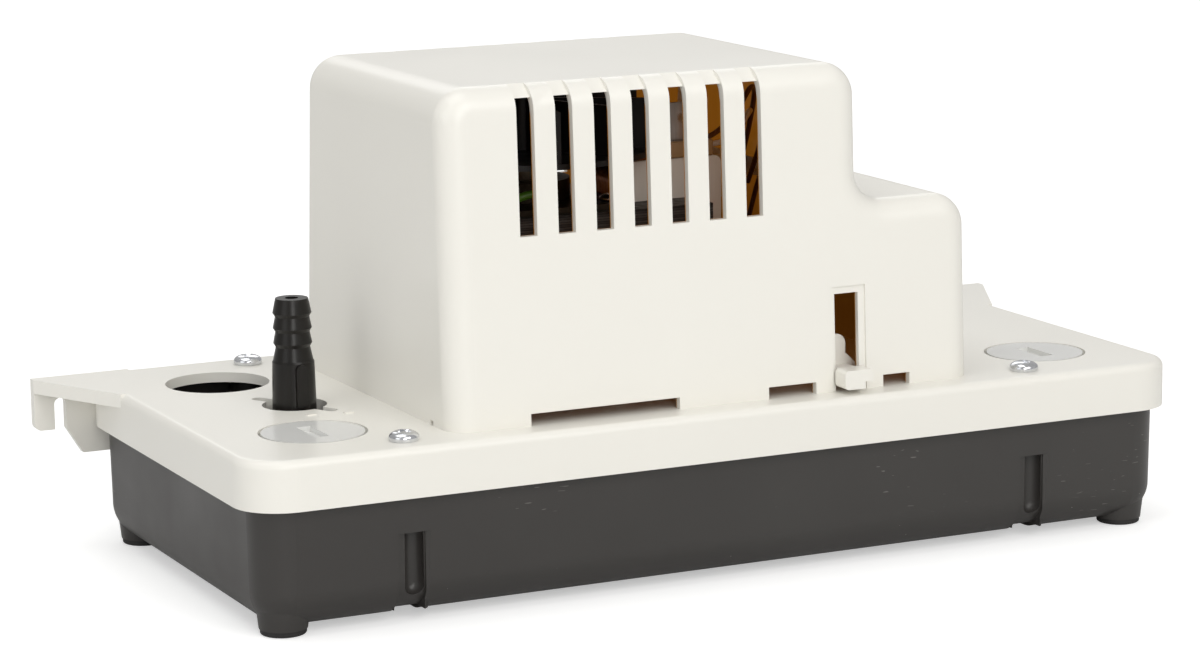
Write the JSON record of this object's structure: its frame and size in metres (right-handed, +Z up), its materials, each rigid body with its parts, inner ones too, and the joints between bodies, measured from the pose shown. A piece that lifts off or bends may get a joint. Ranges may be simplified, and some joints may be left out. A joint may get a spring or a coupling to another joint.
{
  "type": "condensate pump",
  "caption": "Low flat tank with a cream lid and vented motor cover, drain inlets, barbed outlet, float with test lever, and vertical shaft motor driving a submerged impeller.",
  "frame": {"origin": "centre of the outline, at the soles of the feet", "axes": "+X along the tank, towards the end away from the outlet; -Y towards the side with the vents and the test lever; +Z up"},
  "size_m": [0.3062, 0.1332, 0.1351],
  "materials": {
    "tank_plastic": "satin",
    "cream_plastic": "satin",
    "plug_plastic": "satin",
    "black_plastic": "gloss",
    "foot_rubber": "matte",
    "seal_rubber": "matte",
    "zinc_screw": "polished",
    "steel": "satin",
    "lamination_steel": "satin",
    "copper": "satin",
    "bobbin_plastic": "satin",
    "bronze": "satin",
    "grey_plastic": "satin",
    "float_foam": "matte",
    "valve_plastic": "satin"
  },
  "bodies": {
    "housing": {"tank": "tank_plastic", "rubber_feet": "foot_rubber", "lid_gasket": "seal_rubber", "tank_lid": "cream_plastic", "motor_cover": "cream_plastic", "lid_screws": "zinc_screw", "motor_screws": "zinc_screw", "volute_screws": "zinc_screw", "cover_screws": "zinc_screw", "volute_body": "black_plastic", "volute_plate": "black_plastic", "stator_core": "lamination_steel", "coil_bobbin": "bobbin_plastic", "coil_winding": "copper", "upper_bearing_bracket": "steel", "lower_bearing_bracket": "steel", "upper_bearing": "bronze", "lower_bearing": "bronze", "pivot_pin": "steel", "switch_bracket": "steel", "run_switch": "grey_plastic", "safety_switch": "grey_plastic", "switch_screws": "zinc_screw", "cord_gland": "black_plastic"},
    "rotor": {"rotor": "lamination_steel", "motor_shaft": "steel", "cooling_fan": "black_plastic", "impeller": "valve_plastic", "shaft_slinger": "seal_rubber"},
    "float_and_lever": {"test_lever": "cream_plastic", "float": "float_foam"},
    "run_switch_plunger": {"run_switch_plunger": "black_plastic"},
    "safety_switch_plunger": {"safety_switch_plunger": "black_plastic"},
    "discharge_fitting": {"discharge_fitting": "black_plastic", "valve_seat": "valve_plastic", "fitting_o_ring": "seal_rubber"},
    "check_ball": {"check_ball": "steel"},
    "inlet_plug_front_left": {"inlet_plug_front_left": "plug_plastic"},
    "inlet_plug_front_right": {"inlet_plug_front_right": "plug_plastic"},
    "inlet_plug_back_right": {"inlet_plug_back_right": "plug_plastic"}
  },
  "joints": [
    {"name": "rotor_spin", "type": "hinge", "parent": "housing", "child": "rotor", "pos_m": [-0.038, -0.0126, 0.047], "axis": [0, 0, 1], "continuous": true},
    {"name": "float_lift", "type": "hinge", "parent": "housing", "child": "float_and_lever", "pos_m": [0.037, 0.014, 0.0592], "axis": [-1, 0, 0], "range_deg": [0, 14]},
    {"name": "run_switch_press", "type": "slide", "parent": "housing", "child": "run_switch_plunger", "axis": [0, 0, 1], "range_m": [0, 0.0029]},
    {"name": "safety_switch_press", "type": "slide", "parent": "housing", "child": "safety_switch_plunger", "axis": [0, 0, 1], "range_m": [0, 0.0029]},
    {"name": "fitting_quarter_turn", "type": "hinge", "parent": "housing", "child": "discharge_fitting", "pos_m": [-0.101, -0.0016, 0.047], "axis": [0, 0, 1], "range_deg": [0, 90]},
    {"name": "check_ball_lift", "type": "slide", "parent": "discharge_fitting", "child": "check_ball", "axis": [0, 0, 1], "range_m": [0, 0.004]},
    {"name": "front_left_plug_lift", "type": "slide", "parent": "housing", "child": "inlet_plug_front_left", "axis": [0, 0, 1], "range_m": [0, 0.03]},
    {"name": "front_right_plug_lift", "type": "slide", "parent": "housing", "child": "inlet_plug_front_right", "axis": [0, 0, 1], "range_m": [0, 0.03]},
    {"name": "back_right_plug_lift", "type": "slide", "parent": "housing", "child": "inlet_plug_back_right", "axis": [0, 0, 1], "range_m": [0, 0.03]}
  ],
  "couplings": [
    {"joint": "run_switch_press", "follows": "float_lift", "m_per_rad": 0.0118},
    {"joint": "safety_switch_press", "follows": "float_lift", "m_per_rad": 0.0118}
  ]
}
